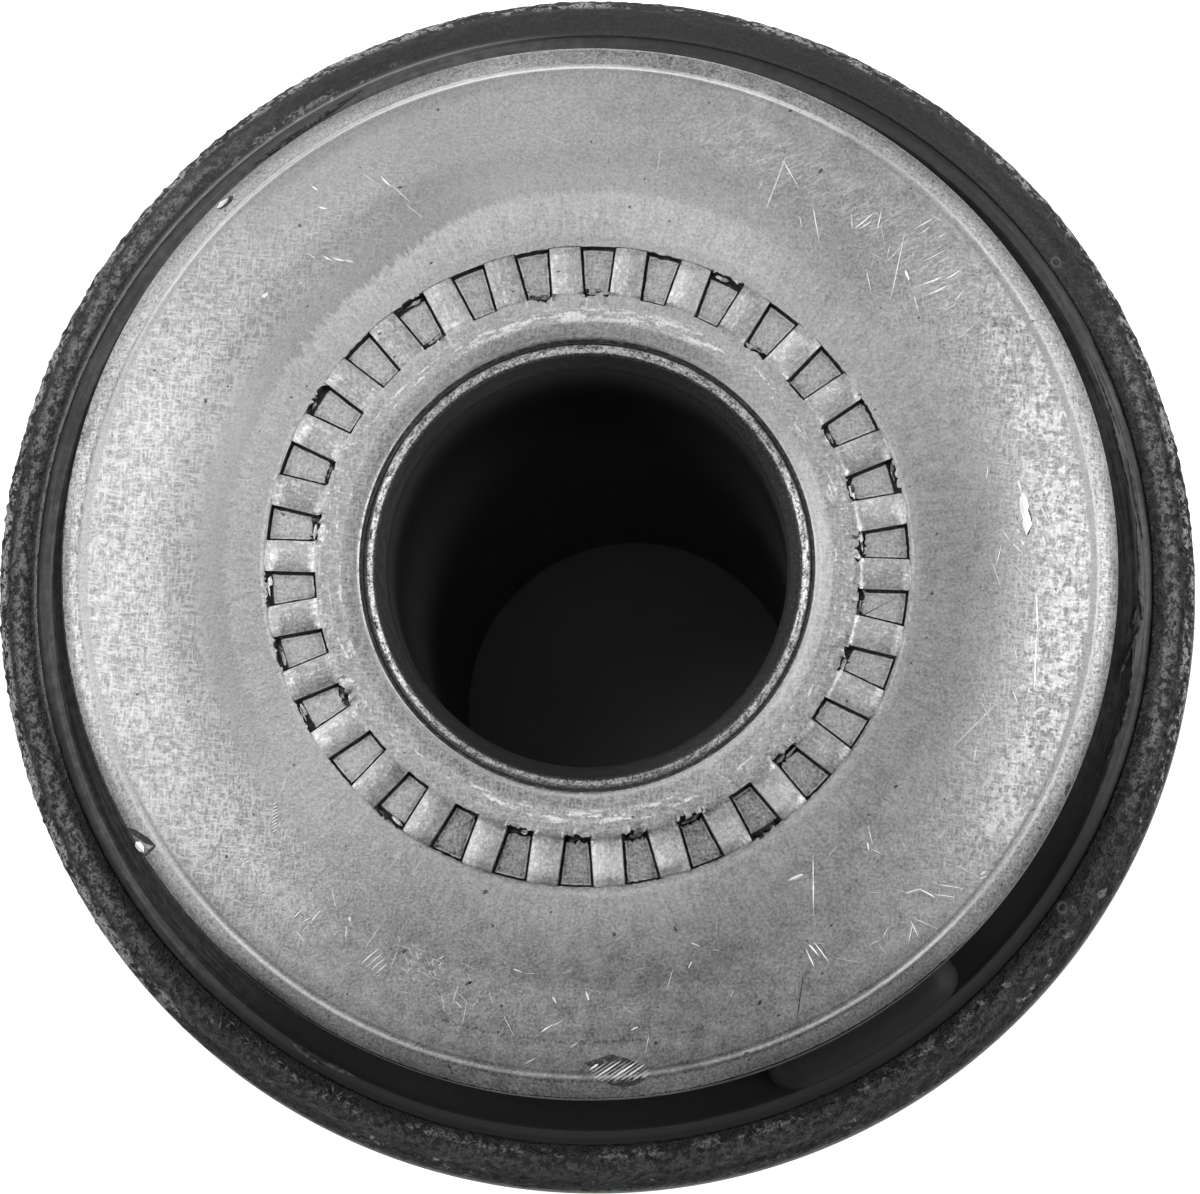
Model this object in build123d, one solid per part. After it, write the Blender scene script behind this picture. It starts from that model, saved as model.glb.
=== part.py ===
from build123d import *
from math import radians, tan
import os

# Rubber metal bush: a plain steel sleeve and a flanged outer sleeve joined by a block of
# bonded rubber, with a serrated stop disc pressed on the upper end of the plain sleeve.
# +Z runs along the bore towards the stop disc. The origin is the centre of the bore at the
# lower end of the inner sleeve, on which the bush stands. The two bump stops lie on the Y axis.

# Driving dimensions, in millimetres and degrees.

# Inner sleeve, which the bolt goes through.
bore_diameter = 24.0
sleeve_wall = 1.5
sleeve_length = 88.0
bore_chamfer_depth = 1.1
bore_chamfer_width = 0.9
sleeve_edge_break = 0.15

# Stop disc, from its face down. Its seat ring stands above the end of the inner sleeve.
disc_diameter = 63.7
disc_proud = 0.7
disc_bore_break = 0.25
seat_ring_width = 2.8
outer_face_step = 0.15
flat_face_width = 3.75
crown_line_drop = 1.4
rim_bevel_width = 1.2
rim_bevel_drop = 0.8
disc_edge_height = 3.3
disc_under_radius = 1.0
hub_wall = 5.5
hub_length = 7.5
hub_corner_radius = 1.2

# Ring of serrations, coined into the face of the stop disc.
serration_count = 30
serration_length = 2.95
serration_depth = 0.65
pad_width = 1.86
pad_crown = 0.22
pad_recess = 0.04
serration_turn = 2.5

# Outer sleeve, pressed into the bracket up to its collar.
outer_diameter = 66.0
outer_wall = 2.5
outer_sleeve_length = 68.7
collar_overhang = 4.15
collar_thickness = 5.7
collar_crown_radius = 2.7
collar_land = 0.1
collar_edge_radius = 0.9
collar_root_radius = 0.6
mouth_taper = 25.0
lead_in_length = 2.0
lead_in_width = 0.5

# Rubber, bonded to both sleeves.
bump_stop_count = 2
bump_gap = 5.0
lug_rise = 0.7
lug_width = 6.6
lug_span = 23.7
lug_corner_radius = 2.0
lug_edge_radius = 0.7
lug_setback = 0.1
lip_below_collar = 0.2
lip_width = 0.8
lip_round = 0.25
groove_depth = 0.55
skin_thickness = 1.6
skin_below_hub = 0.4
skin_above_foot = 7.0
trough_depth = 3.8
rubber_above_outer_end = 2.0
lower_land_width = 3.4
lower_recess_width = 8.2
lower_recess_depth = 5.5

# Radii and levels that follow from them.
bore_radius = bore_diameter / 2
sleeve_radius = bore_radius + sleeve_wall
disc_radius = disc_diameter / 2
crown_line_radius = disc_radius - rim_bevel_width
seat_ring_radius = sleeve_radius + seat_ring_width
serration_radius = seat_ring_radius + serration_length
flat_face_radius = serration_radius + flat_face_width
hub_radius = sleeve_radius + hub_wall
outer_radius = outer_diameter / 2
outer_bore_radius = outer_radius - outer_wall
collar_radius = outer_radius + collar_overhang
mouth_radius = collar_radius - collar_crown_radius - collar_land

face_level = sleeve_length + disc_proud
crown_line_level = face_level - crown_line_drop
disc_edge_level = crown_line_level - rim_bevel_drop
disc_under_level = disc_edge_level - disc_edge_height
hub_level = face_level - hub_length
serration_floor_level = face_level - serration_depth
lug_level = disc_under_level - bump_gap
lip_level = lug_level - lug_rise
collar_level = lip_level + lip_below_collar
collar_seat_level = collar_level - collar_thickness
outer_end_level = collar_level - outer_sleeve_length
groove_level = lip_level - groove_depth
mouth_slope = tan(radians(mouth_taper))
mouth_start_level = collar_level - (mouth_radius - outer_bore_radius) / mouth_slope
groove_radius = mouth_radius - (collar_level - groove_level) * mouth_slope
lip_inner_radius = groove_radius - lip_width


def make_inner_sleeve():
    """Plain steel tube, chamfered inside at both ends so that the bolt finds its way in."""
    top = sleeve_length
    with BuildPart() as sleeve:
        with BuildSketch(Plane.XZ):
            with BuildLine():
                Polyline(
                    (bore_radius, bore_chamfer_depth),
                    (bore_radius + bore_chamfer_width, 0),
                    (sleeve_radius - sleeve_edge_break, 0),
                    (sleeve_radius, sleeve_edge_break),
                    (sleeve_radius, top - sleeve_edge_break),
                    (sleeve_radius - sleeve_edge_break, top),
                    (bore_radius + bore_chamfer_width, top),
                    (bore_radius, top - bore_chamfer_depth),
                    close=True,
                )
            make_face()
        revolve(axis=Axis.Z)
    return sleeve.part


def make_disc_blank():
    """Forged disc with a short hub below and a face that falls away towards its bevelled rim."""
    with BuildPart() as blank:
        with BuildSketch(Plane.XZ) as section:
            with BuildLine():
                Polyline(
                    (sleeve_radius, hub_level),
                    (hub_radius, hub_level),
                    (hub_radius, disc_under_level),
                    (disc_radius, disc_under_level),
                    (disc_radius, disc_edge_level),
                    (crown_line_radius, crown_line_level),
                    (flat_face_radius, face_level - outer_face_step),
                    (serration_radius, face_level - outer_face_step),
                    (serration_radius, serration_floor_level),
                    (seat_ring_radius, serration_floor_level),
                    (seat_ring_radius, face_level),
                    (sleeve_radius + disc_bore_break, face_level),
                    (sleeve_radius, face_level - disc_bore_break),
                    close=True,
                )
            make_face()
            lower_rim = section.vertices().sort_by_distance((disc_radius, disc_under_level))[0]
            fillet(lower_rim, disc_under_radius)
            hub_root = section.vertices().sort_by_distance((hub_radius, disc_under_level))[0]
            fillet(hub_root, hub_corner_radius)
        revolve(axis=Axis.Z)
    return blank.part


def make_serration_pad():
    """One pad on +X: parallel sides and a barrel crown, cut off by the ring that holds it."""
    half_width = pad_width / 2
    crest_level = face_level - pad_recess
    shoulder_level = crest_level - pad_crown
    with BuildPart() as pad:
        with BuildSketch(Plane.YZ):
            with BuildLine():
                Polyline(
                    (half_width, shoulder_level),
                    (half_width, serration_floor_level),
                    (-half_width, serration_floor_level),
                    (-half_width, shoulder_level),
                )
                ThreePointArc(
                    (half_width, shoulder_level),
                    (0, crest_level),
                    (-half_width, shoulder_level),
                )
            make_face()
        extrude(amount=serration_radius + pad_width)
        with BuildSketch(Plane.XY.offset(serration_floor_level)):
            Circle(serration_radius)
            Circle(seat_ring_radius, mode=Mode.SUBTRACT)
        extrude(amount=serration_depth, mode=Mode.INTERSECT)
    return pad.part


def make_stop_disc():
    """The disc with its ring of pads, which bite into the bracket when the bolt is tightened."""
    pad = make_serration_pad()
    places = PolarLocations(0, serration_count, start_angle=serration_turn)
    return make_disc_blank() + [place * pad for place in places]


def make_outer_sleeve():
    """Steel sleeve with a solid collar, crowned on top, and a mouth that opens at a taper."""
    lead_in_radius = outer_radius - lead_in_width
    crown_centre_radius = collar_radius - collar_crown_radius
    crown_centre_level = collar_level - collar_crown_radius
    with BuildPart() as sleeve:
        with BuildSketch(Plane.XZ) as section:
            with BuildLine():
                Polyline(
                    (crown_centre_radius, collar_level),
                    (mouth_radius, collar_level),
                    (outer_bore_radius, mouth_start_level),
                    (outer_bore_radius, outer_end_level),
                    (lead_in_radius, outer_end_level),
                    (outer_radius, outer_end_level + lead_in_length),
                    (outer_radius, collar_seat_level),
                    (collar_radius, collar_seat_level),
                    (collar_radius, crown_centre_level),
                )
                CenterArc((crown_centre_radius, crown_centre_level), collar_crown_radius, 0, 90)
            make_face()
            seat_rim = section.vertices().sort_by_distance((collar_radius, collar_seat_level))[0]
            fillet(seat_rim, collar_edge_radius)
            seat_root = section.vertices().sort_by_distance((outer_radius, collar_seat_level))[0]
            fillet(seat_root, collar_root_radius)
        revolve(axis=Axis.Z)
    return sleeve.part


def make_rubber_ring():
    """Turned form of the rubber: a trough and a lip above, and a round recess below."""
    skin_radius = sleeve_radius + skin_thickness
    skin_level = hub_level - skin_below_hub
    lip_outer_radius = groove_radius - lip_round
    lip_foot_level = lip_level - lip_round
    trough_middle_radius = (skin_radius + lip_inner_radius) / 2
    trough_level = lip_level - trough_depth
    lower_level = outer_end_level + rubber_above_outer_end
    recess_inner = skin_radius + lower_land_width
    recess_outer = recess_inner + lower_recess_width
    recess_middle = recess_inner + lower_recess_width / 2
    with BuildPart() as ring:
        with BuildSketch(Plane.XZ):
            with BuildLine():
                Line((sleeve_radius, skin_above_foot), (sleeve_radius, skin_level))
                Line((sleeve_radius, skin_level), (skin_radius, skin_level))
                ThreePointArc(
                    (skin_radius, skin_level),
                    (trough_middle_radius, trough_level),
                    (lip_inner_radius, lip_foot_level),
                )
                Line((lip_inner_radius, lip_foot_level), (lip_inner_radius + lip_round, lip_level))
                Line((lip_inner_radius + lip_round, lip_level), (lip_outer_radius, lip_level))
                Line((lip_outer_radius, lip_level), (groove_radius, groove_level))
                Line((groove_radius, groove_level), (outer_bore_radius, mouth_start_level))
                Line((outer_bore_radius, mouth_start_level), (outer_bore_radius, lower_level))
                Line((outer_bore_radius, lower_level), (recess_outer, lower_level))
                ThreePointArc(
                    (recess_outer, lower_level),
                    (recess_middle, lower_level + lower_recess_depth),
                    (recess_inner, lower_level),
                )
                Line((recess_inner, lower_level), (skin_radius, skin_above_foot))
                Line((skin_radius, skin_above_foot), (sleeve_radius, skin_above_foot))
            make_face()
        revolve(axis=Axis.Z)
    return ring.part


def make_bump_stop():
    """Kidney-shaped lug on +Y that meets the stop disc when the bush is pushed together."""
    lug_outer_radius = groove_radius - lug_setback
    lug_inner_radius = lug_outer_radius - lug_width
    start_angle = 90 - lug_span / 2
    trough_level = lip_level - trough_depth
    foot_level = trough_level - lug_rise
    room_radius = mouth_radius - (collar_level - foot_level) * mouth_slope
    with BuildPart() as lug:
        with BuildSketch(Plane.XY.offset(foot_level)) as plan:
            with BuildLine():
                outer = CenterArc((0, 0), lug_outer_radius, start_angle, lug_span)
                inner = CenterArc((0, 0), lug_inner_radius, start_angle, lug_span)
                Line(outer @ 0, inner @ 0)
                Line(outer @ 1, inner @ 1)
            make_face()
            fillet(plan.vertices(), lug_corner_radius)
        extrude(amount=lug_level - foot_level)
        fillet(lug.faces().sort_by(Axis.Z)[-1].edges(), lug_edge_radius)
        with BuildSketch(Plane.XZ):
            with BuildLine():
                Polyline(
                    (0, foot_level),
                    (room_radius, foot_level),
                    (groove_radius, groove_level),
                    (groove_radius, lug_level),
                    (0, lug_level),
                    close=True,
                )
            make_face()
        revolve(axis=Axis.Z, mode=Mode.INTERSECT)
    return lug.part


def make_rubber_body():
    """The bonded rubber with its two bump stops, moulded in one piece."""
    lug = make_bump_stop()
    return make_rubber_ring() + [place * lug for place in PolarLocations(0, bump_stop_count)]


pieces = {
    "inner_sleeve": make_inner_sleeve(),
    "stop_disc": make_stop_disc(),
    "rubber_body": make_rubber_body(),
    "outer_sleeve": make_outer_sleeve(),
}

os.makedirs("parts", exist_ok=True)
for name, piece in pieces.items():
    export_step(piece, f"parts/{name}.step")
    print(name, round(piece.volume), "mm3")
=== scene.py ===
import bpy
import random
from math import atan2, ceil, copysign, cos, degrees, hypot, pi, radians, sin, tan
from mathutils import Matrix, Vector


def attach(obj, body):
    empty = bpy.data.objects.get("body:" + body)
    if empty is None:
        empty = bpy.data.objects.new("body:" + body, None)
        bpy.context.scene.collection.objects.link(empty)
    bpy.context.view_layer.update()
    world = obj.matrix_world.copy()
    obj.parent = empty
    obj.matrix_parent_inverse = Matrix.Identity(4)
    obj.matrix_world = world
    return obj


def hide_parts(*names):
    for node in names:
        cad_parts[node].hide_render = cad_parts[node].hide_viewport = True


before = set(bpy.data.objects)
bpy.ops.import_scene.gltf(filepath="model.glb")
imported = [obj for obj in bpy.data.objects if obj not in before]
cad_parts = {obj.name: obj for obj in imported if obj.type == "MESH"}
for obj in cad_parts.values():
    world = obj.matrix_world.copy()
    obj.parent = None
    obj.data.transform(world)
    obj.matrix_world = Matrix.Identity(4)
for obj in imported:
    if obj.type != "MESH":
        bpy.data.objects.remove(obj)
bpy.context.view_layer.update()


# Camera. A long lens looks almost straight down on the stop disc, a few degrees off the axis.
# Clock angles run clockwise from its twelve o'clock, which lies at an azimuth of 58.5 degrees.
MM = 0.001
twelve_azimuth = 58.5
view_turn = Matrix.Rotation(radians(twelve_azimuth - 90), 4, "Z")
aim = Vector((0, 0, 87.3)) * MM
camera_place = Vector((15.7, -47.8, 403.1)) * MM
camera_right = Vector((0.99931, 0, -0.03709))
camera_up = Vector((0.00420, 0.99356, 0.11326))
camera_back = camera_right.cross(camera_up)

camera = bpy.data.objects.new("camera", bpy.data.cameras.new("camera"))
bpy.context.scene.collection.objects.link(camera)
camera_pose = Matrix((camera_right, camera_up, camera_back)).transposed().to_4x4()
camera_pose.translation = camera_place
camera.matrix_world = Matrix.Translation(aim) @ view_turn @ camera_pose
camera.data.sensor_width = 36
camera.data.lens = 202.8
camera.data.clip_start = 0.01
bpy.context.scene.camera = camera
bpy.context.scene.view_settings.view_transform = "Standard"


# Studio. A pale floor in a dim white room, and soft square lights all round the part: strong
# ones on the left and right, weaker ones beyond it, and hardly any light from the near side.
floor_size = 6
light_size = 0.45
light_distance = 0.9
softboxes = {
    "overhead": (325, 22, 2.0),
    "left": (270, 40, 2.9),
    "left_low": (270, 74, 2.0),
    "right": (90, 40, 3.6),
    "right_low": (90, 66, 2.0),
    "far_right": (45, 58, 2.6),
    "far": (325, 75, 2.9),
    "near_left": (225, 58, 1.2),
    "near": (150, 75, 1.2),
}

for name, (clock, tilt, power) in softboxes.items():
    light = bpy.data.lights.new(name, "AREA")
    light.shape = "SQUARE"
    light.size = light_size
    light.energy = power
    lamp = bpy.data.objects.new(name, light)
    bpy.context.scene.collection.objects.link(lamp)
    azimuth = radians(twelve_azimuth - clock)
    slant = radians(tilt)
    reach = Vector((sin(slant) * cos(azimuth), sin(slant) * sin(azimuth), cos(slant)))
    lamp.location = aim + reach * light_distance
    lamp.rotation_euler = reach.to_track_quat("Z", "Y").to_euler()

room = bpy.data.worlds.new("room")
bpy.context.scene.world = room
room.use_nodes = True
room.node_tree.nodes["Background"].inputs["Color"].default_value = (1, 1, 1, 1)
room.node_tree.nodes["Background"].inputs["Strength"].default_value = 0.1

bpy.ops.object.select_all(action="DESELECT")
bpy.ops.mesh.primitive_plane_add(size=floor_size)
floor = bpy.context.object
floor.name = "floor"


# Inner sleeve. A cut length of drawn steel tube that the bolt goes through, chamfered inside
# at both ends. Its skin is black scale, rubbed bright on the end face, where the rubbed ring also
# carries painted light. The bore wall is painted lighter deep down and near its mouth.
bore_radius = 12.0
sleeve_radius = 13.5
sleeve_length = 88.0
chamfer_width = 0.9
chamfer_depth = 1.1
worn_end_depth = 1.3
sleeve_steps = 480


def section(corners):
    """Points of a closed section. A corner is (radius, height, rounding, spacing after it)."""
    points = []
    for index, (radius, height, rounding, spacing) in enumerate(corners):
        corner = Vector((radius, height))
        before = (Vector(corners[index - 1][:2]) - corner).normalized()
        after_corner = corners[(index + 1) % len(corners)]
        after = (Vector(after_corner[:2]) - corner).normalized()
        half = before.angle(after) / 2
        if rounding:
            centre = corner + (before + after).normalized() * rounding / sin(half)
            arm = corner + before * rounding / tan(half) - centre
            turn = copysign(pi - 2 * half, -before.cross(after))
            parts = max(3, ceil(abs(turn) * rounding / spacing))
            for part in range(parts + 1):
                points.append(centre + Matrix.Rotation(turn * part / parts, 2) @ arm)
        else:
            points.append(corner)
        after_before = Vector(after_corner[:2])
        length = (after_before - points[-1]).length
        next_reach = 0
        if after_corner[2]:
            beyond = (Vector(corners[(index + 2) % len(corners)][:2]) - after_before).normalized()
            next_reach = after_corner[2] / tan((-after).angle(beyond) / 2)
        length -= next_reach
        parts = max(1, ceil(length / spacing))
        start = points[-1]
        for part in range(1, parts):
            points.append(start + after * length * part / parts)
    return points


def standing(points, azimuth=0):
    """Places in mm of a section's (radius, height) points, in the plane at an azimuth."""
    return [(radius * cos(azimuth), radius * sin(azimuth), height) for radius, height in points]


def drawn(name, places):
    """Weld a small plane into one vertex and extrude it from place to place of a closed line."""
    bpy.ops.object.select_all(action="DESELECT")
    bpy.ops.mesh.primitive_plane_add(size=MM)
    piece = bpy.context.object
    piece.name = name
    piece.data.name = name
    bpy.ops.object.mode_set(mode="EDIT")
    bpy.ops.mesh.select_mode(type="VERT")
    bpy.ops.mesh.merge(type="CENTER")
    places = [Vector(place) * MM for place in places]
    bpy.ops.transform.translate(value=places[0])
    for here, there in zip(places, places[1:] + places[:1]):
        bpy.ops.mesh.extrude_vertices_move(TRANSFORM_OT_translate={"value": there - here})
    bpy.ops.mesh.select_all(action="SELECT")
    bpy.ops.mesh.remove_doubles(threshold=2e-6)
    return piece


def raised(height):
    """Extrude the selected faces upwards by a height in mm."""
    bpy.ops.mesh.extrude_region_move(TRANSFORM_OT_translate={"value": (0, 0, height * MM)})


def faced():
    """Turn the faces of the shape in edit mode outwards, and leave edit mode."""
    bpy.ops.mesh.select_all(action="SELECT")
    bpy.ops.mesh.normals_make_consistent(inside=False)
    bpy.ops.object.mode_set(mode="OBJECT")


def turned(piece, steps):
    """Turn a drawn section full circle about the bore's axis and weld the seam."""
    bpy.ops.object.mode_set(mode="OBJECT")
    screw = piece.modifiers.new("turning", "SCREW")
    screw.steps = steps
    screw.render_steps = steps
    screw.use_merge_vertices = True
    screw.merge_threshold = 2e-6
    bpy.ops.object.modifier_apply(modifier="turning")
    bpy.ops.object.mode_set(mode="EDIT")
    faced()


def weighted(piece, name, weight):
    """Give a piece a vertex group whose weights are worked out from place in mm."""
    group = piece.vertex_groups.new(name=name)
    for vertex in piece.data.vertices:
        amount = weight(*(vertex.co / MM))
        if amount > 0:
            group.add([vertex.index], min(1, amount), "REPLACE")


def roughened(piece, grain, depth, group="", contrast=1.0):
    """Sink a piece's surface, in mm, by a cloud pattern of a grain size in mm."""
    cloud = bpy.data.textures.new(piece.name + "_grain", "CLOUDS")
    cloud.noise_scale = grain * MM
    cloud.noise_depth = 2
    cloud.contrast = contrast
    sink = piece.modifiers.new("grain", "DISPLACE")
    sink.texture = cloud
    sink.texture_coords = "LOCAL"
    sink.strength = depth * MM
    sink.mid_level = 1
    sink.vertex_group = group
    bpy.ops.object.modifier_apply(modifier="grain")


class Value:
    """A socket in a material's nodes. Arithmetic on it adds Math nodes."""

    def __init__(self, tree, socket=None):
        self.tree = tree
        self.socket = socket

    def node(self, kind, sockets, output=0, **settings):
        """Add a node with its settings, then its sockets' values or links."""
        made = self.tree.nodes.new("ShaderNode" + kind)
        for name, setting in settings.items():
            setattr(made, name, setting)
        for name, given in sockets.items():
            if isinstance(given, Value):
                self.tree.links.new(given.socket, made.inputs[name])
            else:
                made.inputs[name].default_value = given
        return Value(self.tree, made.outputs[output])

    def math(self, operation, *others):
        return self.node("Math", dict(enumerate((self, *others))), operation=operation)

    def __add__(self, other):
        return self.math("ADD", other)

    __radd__ = __add__

    def __mul__(self, other):
        return self.math("MULTIPLY", other)

    __rmul__ = __mul__

    def __sub__(self, other):
        return self.math("SUBTRACT", other)

    def __rsub__(self, other):
        return self.node("Math", {0: other, 1: self}, operation="SUBTRACT")

    def __truediv__(self, other):
        return self.math("DIVIDE", other)

    def __pow__(self, other):
        return self.math("POWER", other)

    def __abs__(self):
        return self.math("ABSOLUTE")

    def rise(self, low, high, start=0.0, end=1.0):
        """Go smoothly from start at low to end at high, which may be the lower one."""
        sockets = {"Value": self, "From Min": low, "From Max": high, "To Min": start, "To Max": end}
        return self.node("MapRange", sockets, interpolation_type="SMOOTHSTEP")

    def band(self, low, high, soft):
        """One between low and high, with soft sides."""
        return self.rise(low - soft, low + soft) * self.rise(high + soft, high - soft)

    def sector(self, low, high, soft):
        """One between two clock angles, with soft sides, also where they pass twelve."""
        run = (self - (low - soft)).math("WRAP", 360.0, 0.0)
        return run.rise(0.0, 2.0 * soft) * run.rise(high - low + 2.0 * soft, high - low)

    def shares(self, *sectors):
        """Sum of sectors of a clock angle, each given as low, high, soft and its amount."""
        total = 0.0
        for low, high, soft, amount in sectors:
            total = self.sector(low, high, soft) * amount + total
        return total

    def beside(self, second, third=0.0):
        """A place whose axes are this value and one or two others."""
        return self.node("CombineXYZ", {"X": self, "Y": second, "Z": third})

    def most(self, other):
        return self.math("MAXIMUM", other)

    def noise(self, scale, detail=2.0, roughness=0.5, distortion=0.0):
        """Noise of about scale grains a millimetre, on a place in mm."""
        sockets = {"Vector": self, "Scale": scale, "Detail": detail,
                   "Roughness": roughness, "Distortion": distortion}
        return self.node("TexNoise", sockets, "Fac")

    def stretched(self, heading, along, across):
        """The place, turned to a heading in degrees and scaled along and across it."""
        turned = self.node("VectorRotate", {"Vector": self, "Angle": radians(-heading)},
                           rotation_type="Z_AXIS")
        return turned.node("VectorMath", {0: turned, 1: (along, across, 1)}, operation="MULTIPLY")

    def part(self, axis):
        return self.node("SeparateXYZ", {0: self}, axis)


def finish(name, constants):
    """A new material: it, its shader and the place on the piece in mm."""
    made = bpy.data.materials.new(name)
    made.use_nodes = True
    tree = made.node_tree
    shader = tree.nodes["Principled BSDF"]
    for socket, constant in constants.items():
        shader.inputs[socket].default_value = constant
    place = Value(tree).node("TexCoord", {}, "Object")
    spot = place.node("VectorMath", {0: place, "Scale": 1 / MM}, operation="SCALE")
    return made, shader, spot


def polar(spot):
    """Distance from the axis in mm and clock angle in degrees of a place in mm."""
    x = spot.part("X")
    y = spot.part("Y")
    azimuth = y.math("ARCTAN2", x) * degrees(1)
    clock = (twelve_azimuth - azimuth).math("WRAP", 360, 0)
    return (x * x + y * y).math("SQRT"), clock


def wired(shader, **values):
    """Link values to a shader's sockets, named with low lines for spaces."""
    for name, value in values.items():
        value.tree.links.new(value.socket, shader.inputs[name.replace("_", " ")])


def bumped(shader, height, strength, distance):
    """Link a height in mm to a shader's normal."""
    sockets = {"Height": height, "Strength": strength, "Distance": distance * MM}
    wired(shader, Normal=height.node("Bump", sockets))


tube_corners = [
    (bore_radius, chamfer_depth, 0.2, 0.3),
    (bore_radius + chamfer_width, 0, 0.12, 0.3),
    (sleeve_radius, 0, 0.15, 4.0),
    (sleeve_radius, sleeve_length, 0.08, 0.1),
    (bore_radius + chamfer_width, sleeve_length, 0.12, 0.1),
    (bore_radius, sleeve_length - chamfer_depth, 0.6, 4.0),
]
tube = drawn("inner_tube", standing(section(tube_corners)))
turned(tube, sleeve_steps)
weighted(tube, "end", lambda x, y, z: 1 if z > sleeve_length - worn_end_depth else 0)
roughened(tube, 0.35, 0.05, "end")
bpy.ops.object.shade_smooth_by_angle(angle=radians(35))

scale_skin, shader, spot = finish("scaled_steel", {"Metallic": 0.9})
radius, clock = polar(spot)
height = spot.part("Z")
grain = spot.noise(7.0, 3.0, 0.65)
smears = (radius * 4.0).beside(clock * 0.3).noise(1.0, 3.0, 0.6)
on_end = height.rise(sleeve_length - 0.25, sleeve_length - 0.12)
rubbed_start = bore_radius + chamfer_width
rubbed_end = rubbed_start + 0.42 + clock.shares((298, 405, 15, 0.12), (138, 290, 15, -0.1))
rubbed_ring = radius.band(rubbed_start + 0.03, rubbed_end, 0.07)
rubbed = on_end * rubbed_ring * (smears * 0.55 + grain * 0.45).rise(0.36, 0.62)
# Painted light: the rubbed ring is painted brighter at the left and right and darker at the bottom.
lit_share = 0.32 + clock.shares((235, 300, 18, 0.48), (66, 105, 14, 0.56), (140, 215, 15, -0.1))
outer_edge = radius.rise(sleeve_radius - 0.2, sleeve_radius - 0.08, 1.0, 0.3)
oxide = on_end * grain.rise(0.4, 0.7) * outer_edge
near_end = height.rise(sleeve_length - 2.0, sleeve_length)
dust = grain.rise(0.52, 0.68) * clock.sector(20, 160, 20) * near_end
# Painted light: the bore wall is painted lighter near its mouth and, more, deep down.
bore_mouth_painted_light = height.rise(sleeve_length - 9.0, sleeve_length - 1.5) * radius.rise(12.1, 12.0)
deep_bore_painted_light = height.rise(sleeve_length - 10.0, sleeve_length - 38.0) * radius.rise(12.3, 12.1)
tone = 0.034 + grain * 0.02 + dust * 0.05 + oxide * 0.12 + rubbed * lit_share + bore_mouth_painted_light * 0.05
tone += deep_bore_painted_light * 0.24
wired(shader, Base_Color=tone, Roughness=0.55 - rubbed * 0.15)
bumped(shader, grain, 0.4, 0.04)
tube.data.materials.append(scale_skin)
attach(tube, "root")
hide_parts("inner_sleeve")


# Outer sleeve. Turned steel with a solid collar that stops against the bracket, dipped in
# black coating. The coating is grainy on the crown and chipped through along the rim.
outer_radius = 33.0
outer_bore_radius = 30.5
outer_end = 9.0
collar_radius = 37.13
collar_top = 77.7
collar_seat = 72.0
crown_foot = 73.0
mouth_radius = 34.35
mouth_start = 69.44
shoulder_radius = 34.73
shoulder_round = 0.6
chip_radius = 36.9
collar_steps = 1036

collar_corners = [
    (outer_bore_radius, outer_end, 0.2, 2.0),
    (outer_radius - 0.5, outer_end, 0.2, 1.0),
    (outer_radius, outer_end + 2, 0.5, 6.0),
    (outer_radius, collar_seat, 0.6, 1.2),
    (collar_radius, collar_seat, 0.9, 0.4),
    (collar_radius, collar_top, 2.7, 0.16),
    (mouth_radius, collar_top, shoulder_round, 0.16),
    (mouth_radius - tan(radians(25)), collar_top - 1, 0, 2.0),
    (outer_bore_radius, mouth_start, 0.5, 8.0),
]
collared = drawn("collared_sleeve", standing(section(collar_corners)))
turned(collared, collar_steps)


def clock_angle(x, y):
    """Clock angle in degrees of a place seen from above."""
    return (twelve_azimuth - degrees(atan2(y, x))) % 360


def rough_crown(x, y, z):
    """Weight of the coating's grain: coarse over the lower half of the ring, faint at its mouth."""
    clock = clock_angle(x, y)
    coarse = min(1, max(0, min(clock - 50, 330 - clock) / 30))
    from_mouth = min(1, max(0.12, (hypot(x, y) - 34.4) / 0.9))
    return (z - crown_foot) / 2 * (0.35 + 0.65 * coarse) * from_mouth


weighted(collared, "crown", rough_crown)
roughened(collared, 1.1, 0.12, "crown", 1.6)
roughened(collared, 0.4, 0.2, "crown", 1.4)


def chipped(x, y, z):
    """Weight of the chips along the outer rim: deeper where the rim was knocked."""
    near_rim = max(0, 1 - abs(hypot(x, y) - chip_radius) / 0.7)
    knocked = 1 if 275 < clock_angle(x, y) < 352 else 0.6
    return near_rim * knocked if z > crown_foot + 0.5 else 0


weighted(collared, "chips", chipped)
roughened(collared, 0.8, 0.1, "chips", 1.6)
bpy.ops.object.shade_smooth_by_angle(angle=radians(40))

coating, shader, spot = finish("black_coating", {"Specular IOR Level": 0.3})
radius, clock = polar(spot)
height = spot.part("Z")
above = height.rise(crown_foot, crown_foot + 2)
fine = spot.noise(5.5, 3.0, 0.7)
middle = spot.noise(1.9, 3.0, 0.65)
coarse = spot.noise(0.45, 2.0, 0.5)
weathered = clock.sector(60, 300, 25) * above
share = clock.shares((10, 112, 8, 0.09), (112, 225, 10, 0.01), (225, 360, 8, 0.11))
edge = radius.band(36.35, 37.3, 0.2) * above
worn_edge = edge * (coarse * 0.35 + middle * 0.65 + share).rise(0.58, 0.66) * fine.rise(0.35, 0.55)
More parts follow.
